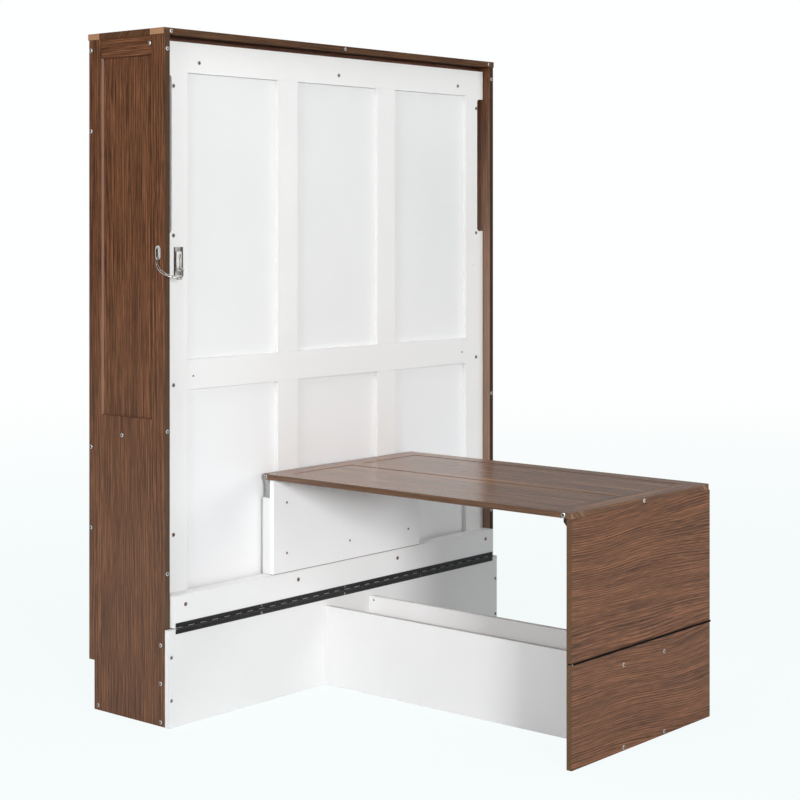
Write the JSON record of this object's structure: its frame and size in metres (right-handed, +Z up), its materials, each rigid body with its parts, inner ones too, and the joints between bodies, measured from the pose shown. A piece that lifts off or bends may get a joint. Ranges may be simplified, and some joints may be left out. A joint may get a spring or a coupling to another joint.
{
  "type": "wall bed with fold down desk",
  "caption": "Upright wall bed with a wood-veneer desk on its white face; the bed box turns down while the linked desk top stays level under it.",
  "frame": {"origin": "on the floor, in the middle of the footprint of the whole piece with the desk out", "axes": "+X across the bed to the viewer's right, +Y to the wall behind, -Y into the room, +Z up"},
  "size_m": [1.6909, 1.589, 2.18],
  "materials": {
    "walnut": "satin",
    "cap_wood": "satin",
    "front_veneer": "satin",
    "desk_veneer": "satin",
    "white_board": "matt white coating",
    "box_paint": "matt white paint",
    "pale_wood": "raw",
    "black_steel": "black",
    "grey_steel": "grey",
    "bright_steel": "bright",
    "nickel": "nickel plated",
    "screw_steel": "zinc plated",
    "strut_black": "black"
  },
  "bodies": {
    "cabinet": {"side_panel_left": "walnut", "side_panel_right": "walnut", "cap_front_rail": "cap_wood", "cap_back_rail": "cap_wood", "cap_infill": "walnut", "head_rail": "walnut", "upper_back_board": "walnut", "lower_back_board": "walnut", "rear_tie": "walnut", "base_board": "white_board", "corner_cleats": "white_board", "base_rail_left": "white_board", "base_rail_right": "white_board", "lower_front_panel": "front_veneer", "bed_hinge_fixed_leaf": "black_steel", "bed_hinge_pin": "bright_steel", "leg_hinge_fixed_leaf": "black_steel", "leg_hinge_pin": "bright_steel", "strut_brackets": "grey_steel", "chain_anchor": "nickel", "case_screws": "screw_steel", "base_screws": "screw_steel"},
    "bed": {"face_sheet": "white_board", "face_stile_left": "white_board", "face_stile_right": "white_board", "face_top_rail": "white_board", "face_mid_rail": "white_board", "face_mullions": "white_board", "hinge_rail_front": "white_board", "hinge_rail_core": "white_board", "box_rail_left": "box_paint", "box_rail_right": "box_paint", "box_end_rails": "box_paint", "slat_ledges": "pale_wood", "cross_batten": "pale_wood", "centre_beams": "pale_wood", "slats": "pale_wood", "desk_spacers": "white_board", "desk_support_board": "white_board", "desk_pivot_plates": "grey_steel", "bed_hinge_moving_leaf": "black_steel", "strut_studs": "grey_steel", "chain_track": "nickel", "face_screws": "screw_steel"},
    "desk": {"desk_stiles": "desk_veneer", "desk_end_rails": "desk_veneer", "desk_mullion": "desk_veneer", "desk_fields": "desk_veneer", "desk_pivot_bolts": "screw_steel", "desk_edge_screw": "screw_steel"},
    "leg": {"leg_panel": "front_veneer", "leg_hinge_moving_leaf": "black_steel", "leg_pivot_plates": "black_steel"},
    "strut_tube_left": {"strut_tube_left": "strut_black"},
    "strut_rod_left": {"strut_rod_left": "bright_steel"},
    "strut_tube_right": {"strut_tube_right": "strut_black"},
    "strut_rod_right": {"strut_rod_right": "bright_steel"},
    "chain": {"safety_chain": "nickel"}
  },
  "joints": [
    {"name": "bed_fold", "type": "hinge", "parent": "cabinet", "child": "bed", "pos_m": [0, 0.4105, 0.305], "axis": [1, 0, 0], "range_deg": [0, 90], "deforming": ["safety_chain"]},
    {"name": "desk_level", "type": "hinge", "parent": "bed", "child": "desk", "pos_m": [0, 0.4425, 0.731], "axis": [1, 0, 0], "range_deg": [-90, 0]},
    {"name": "leg_fold", "type": "hinge", "parent": "cabinet", "child": "leg", "pos_m": [0, -0.7915, 0.305], "axis": [1, 0, 0], "range_deg": [0, 90]},
    {"name": "strut_swing_left", "type": "hinge", "parent": "cabinet", "child": "strut_tube_left", "pos_m": [-0.7965, 0.6345, 0.894], "axis": [1, 0, 0], "range_deg": [-7.38, 0]},
    {"name": "strut_slide_left", "type": "slide", "parent": "strut_tube_left", "child": "strut_rod_left", "axis": [0, -0.1038, -0.9946], "range_m": [-0.2618, 0]},
    {"name": "strut_swing_right", "type": "hinge", "parent": "cabinet", "child": "strut_tube_right", "pos_m": [0.7965, 0.6345, 0.894], "axis": [1, 0, 0], "range_deg": [-7.38, 0]},
    {"name": "strut_slide_right", "type": "slide", "parent": "strut_tube_right", "child": "strut_rod_right", "axis": [0, -0.1038, -0.9946], "range_m": [-0.2618, 0]},
    {"name": "chain_swing", "type": "hinge", "parent": "cabinet", "child": "chain", "pos_m": [-0.84602, 0.45686, 1.43953], "axis": [0.0923, 0.7812, -0.6175], "range_deg": [0, 85]}
  ],
  "couplings": [
    {"joint": "desk_level", "follows": "bed_fold", "ratio": -1},
    {"joint": "leg_fold", "follows": "bed_fold", "ratio": 1},
    {"joint": "strut_swing_left", "follows": "bed_fold", "ratio": -0.081881},
    {"joint": "strut_slide_left", "follows": "bed_fold", "m_per_rad": -0.1666},
    {"joint": "strut_swing_right", "follows": "bed_fold", "ratio": -0.081881},
    {"joint": "strut_slide_right", "follows": "bed_fold", "m_per_rad": -0.1666},
    {"joint": "chain_swing", "follows": "bed_fold", "ratio": 0.944}
  ]
}
